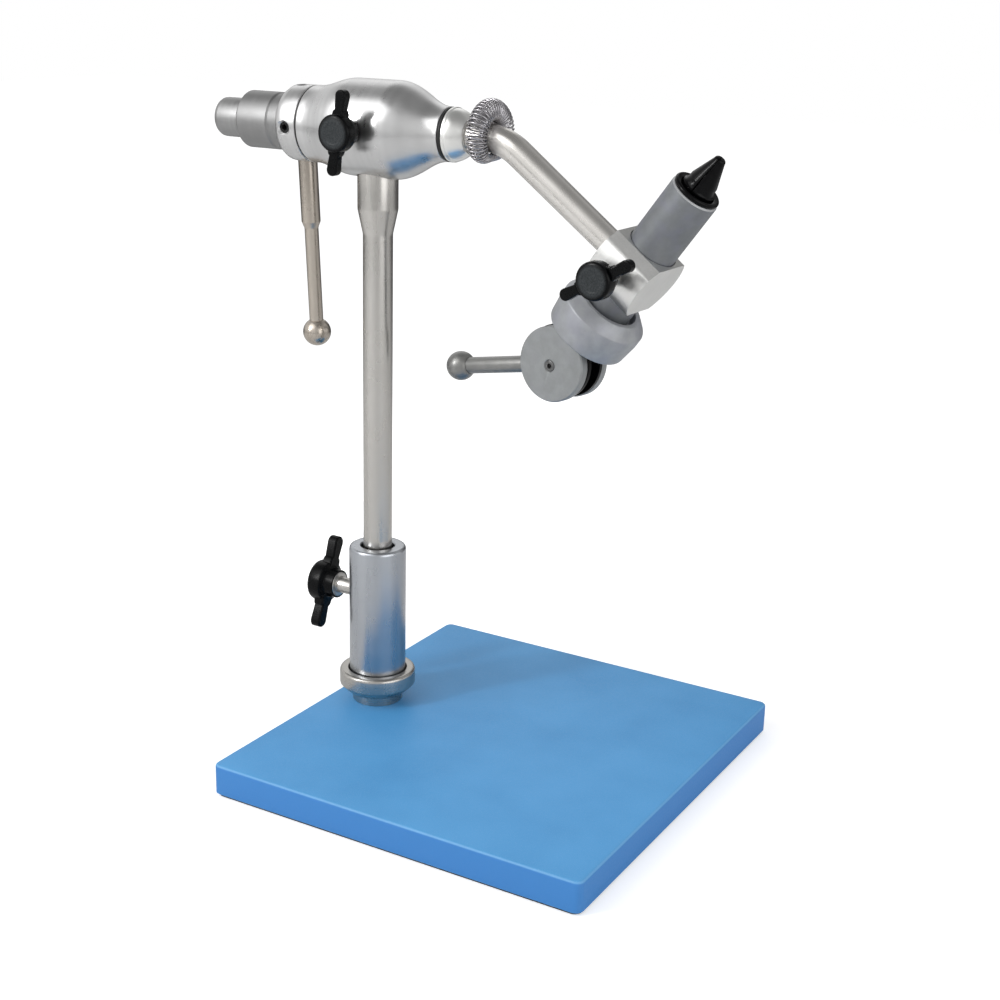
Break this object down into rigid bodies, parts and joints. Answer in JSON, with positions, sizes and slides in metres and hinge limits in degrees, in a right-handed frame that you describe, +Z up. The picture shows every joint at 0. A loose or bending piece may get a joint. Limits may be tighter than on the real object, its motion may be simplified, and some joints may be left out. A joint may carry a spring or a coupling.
{
  "type": "fly tying vise",
  "caption": "Rotary fly tying vise on a heavy rectangular pedestal base, with a clamp post, bent arm, crank, material spring and cam-closed jaws.",
  "frame": {"origin": "middle of the underside of the base pad", "axes": "+Z up, +X the way the jaws point, -Y the side with the drag knob and block knob"},
  "size_m": [0.2056, 0.1632, 0.2538],
  "materials": {
    "blue_powder_coat": "fine powder texture",
    "pad_rubber": "matte",
    "fastener_steel": "zinc plated",
    "foot_steel": "satin, warm grey",
    "post_aluminium": "satin turned",
    "black_knob": "grainy moulded",
    "insert_steel": "turned",
    "stem_stainless": "drawn stainless",
    "housing_aluminium": "polished after turning",
    "bushing_bronze": "sintered",
    "washer_nylon": "matte",
    "seal_rubber": "matte",
    "shoe_nylon": "matte",
    "shaft_steel": "ground",
    "hub_aluminium": "polished",
    "arm_stainless": "drawn stainless",
    "spring_steel": "bright wire",
    "collar_aluminium": "turned",
    "set_screw_black": "black oxide",
    "crank_stainless": "drawn stainless",
    "sleeve_aluminium": "turned",
    "cap_aluminium": "fine turned",
    "block_steel": "bright milled",
    "barrel_anodised": "matte anodised",
    "rim_black": "gloss black oxide",
    "jaw_black": "gloss black oxide",
    "drawbar_steel": "ground",
    "ring_anodised": "matte anodised",
    "cam_black": "smooth",
    "disc_aluminium": "matte anodised",
    "pin_black": "black oxide",
    "lever_steel": "bead blasted"
  },
  "bodies": {
    "base": {"base_plate": "blue_powder_coat", "base_pad": "pad_rubber", "post_bolt": "fastener_steel", "foot_ring": "foot_steel", "post": "post_aluminium"},
    "post_knob": {"post_knob": "black_knob", "post_knob_screw": "insert_steel"},
    "stem": {"stem": "stem_stainless"},
    "head": {"housing": "housing_aluminium", "front_bushing": "bushing_bronze", "rear_bushing": "bushing_bronze", "thrust_washer": "washer_nylon", "nose_seal": "seal_rubber", "drag_shoe": "shoe_nylon"},
    "drag_knob": {"drag_knob": "black_knob", "drag_screw": "insert_steel"},
    "rotor": {"rotor_shaft": "shaft_steel", "nose_hub": "hub_aluminium", "bent_arm": "arm_stainless", "material_spring": "spring_steel", "crank_collar": "collar_aluminium", "collar_screws": "set_screw_black", "crank_rod": "crank_stainless", "crank_ball": "crank_stainless", "rear_sleeve": "sleeve_aluminium", "end_cap": "cap_aluminium", "clamp_block": "block_steel", "block_shoe": "shoe_nylon"},
    "block_knob": {"block_knob": "black_knob", "block_screw": "insert_steel"},
    "barrel": {"jaw_barrel": "barrel_anodised", "nose_rim": "rim_black", "return_spring": "drawbar_steel"},
    "tension_ring": {"tension_ring": "ring_anodised"},
    "drawbar": {"drawbar": "drawbar_steel"},
    "upper_jaw": {"upper_jaw": "jaw_black"},
    "lower_jaw": {"lower_jaw": "jaw_black"},
    "cam_lever": {"cam": "cam_black", "cam_discs": "disc_aluminium", "cam_pin": "pin_black", "lever_rod": "lever_steel", "lever_ball": "lever_steel"}
  },
  "joints": [
    {"name": "post_knob_turn", "type": "hinge", "parent": "base", "child": "post_knob", "pos_m": [-0.0589, 0, 0.057], "axis": [-1, 0, 0], "range_deg": [0, 360]},
    {"name": "stem_height", "type": "slide", "parent": "base", "child": "stem", "axis": [0, 0, 1], "range_m": [-0.011, 0.01]},
    {"name": "head_swivel", "type": "hinge", "parent": "stem", "child": "head", "pos_m": [-0.0589, 0, 0.2364], "axis": [0, 0, 1], "range_deg": [-180, 180]},
    {"name": "drag_knob_turn", "type": "hinge", "parent": "head", "child": "drag_knob", "pos_m": [-0.0589, 0, 0.2364], "axis": [0, -1, 0], "range_deg": [0, 360]},
    {"name": "rotor_spin", "type": "hinge", "parent": "head", "child": "rotor", "pos_m": [-0.0589, 0, 0.2364], "axis": [1, 0, 0], "continuous": true},
    {"name": "block_knob_turn", "type": "hinge", "parent": "rotor", "child": "block_knob", "pos_m": [0.04353, 0.00293, 0.19588], "axis": [-0.0756, -0.9971, -0.0135], "range_deg": [0, 360]},
    {"name": "barrel_slide", "type": "slide", "parent": "rotor", "child": "barrel", "axis": [0.5962, -0.056, 0.8009], "range_m": [-0.01, 0.0055]},
    {"name": "tension_ring_turn", "type": "hinge", "parent": "barrel", "child": "tension_ring", "pos_m": [0.03557, 0.0037, 0.18351], "axis": [0.5962, -0.056, 0.8009], "range_deg": [-180, 180]},
    {"name": "drawbar_slide", "type": "slide", "parent": "barrel", "child": "drawbar", "axis": [0.5962, -0.056, 0.8009], "range_m": [0, 0.001]},
    {"name": "cam_lever_turn", "type": "hinge", "parent": "drawbar", "child": "cam_lever", "pos_m": [0.01661, 0.00552, 0.15954], "axis": [-0.1256, -0.9918, 0.0241], "range_deg": [0, 90]},
    {"name": "upper_jaw_open", "type": "hinge", "parent": "drawbar", "child": "upper_jaw", "pos_m": [0.06025, 0.00138, 0.21666], "axis": [0, -0.9976, -0.0698], "range_deg": [0, 1.5]},
    {"name": "lower_jaw_open", "type": "hinge", "parent": "drawbar", "child": "lower_jaw", "pos_m": [0.06025, 0.00138, 0.21666], "axis": [0, 0.9976, 0.0698], "range_deg": [0, 1.5]}
  ],
  "couplings": [
    {"joint": "drawbar_slide", "follows": "cam_lever_turn", "m_per_rad": 0.00063598},
    {"joint": "upper_jaw_open", "follows": "cam_lever_turn", "ratio": 0.01665},
    {"joint": "lower_jaw_open", "follows": "cam_lever_turn", "ratio": 0.01665}
  ]
}
